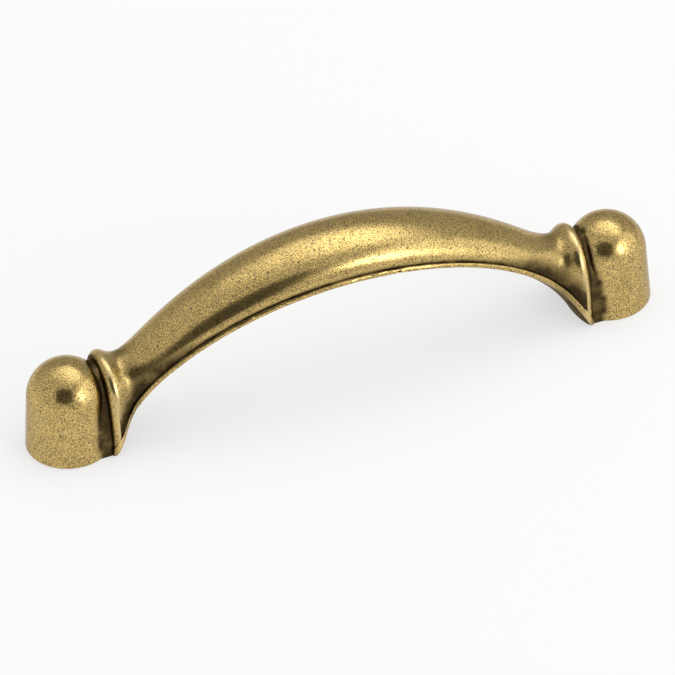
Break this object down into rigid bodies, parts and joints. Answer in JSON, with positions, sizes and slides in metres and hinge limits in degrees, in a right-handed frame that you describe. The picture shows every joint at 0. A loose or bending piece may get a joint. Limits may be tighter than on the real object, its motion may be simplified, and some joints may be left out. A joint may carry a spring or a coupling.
{
  "type": "arch pull",
  "caption": "Bowed cast drawer pull with beaded collars at the ends of its grip, domed posts and blind screw holes in its feet.",
  "frame": {"origin": "midway between the feet, on the face of the drawer front", "axes": "+X along the pull, +Y across the grip, +Z away from the drawer front"},
  "size_m": [0.0878, 0.0122, 0.0236],
  "materials": {
    "antique_brass": "antique brass, burnished on the high places, dark in the hollows, with fine dark speckle"
  },
  "bodies": {
    "root": {"arch_pull": "antique_brass"}
  },
  "joints": []
}
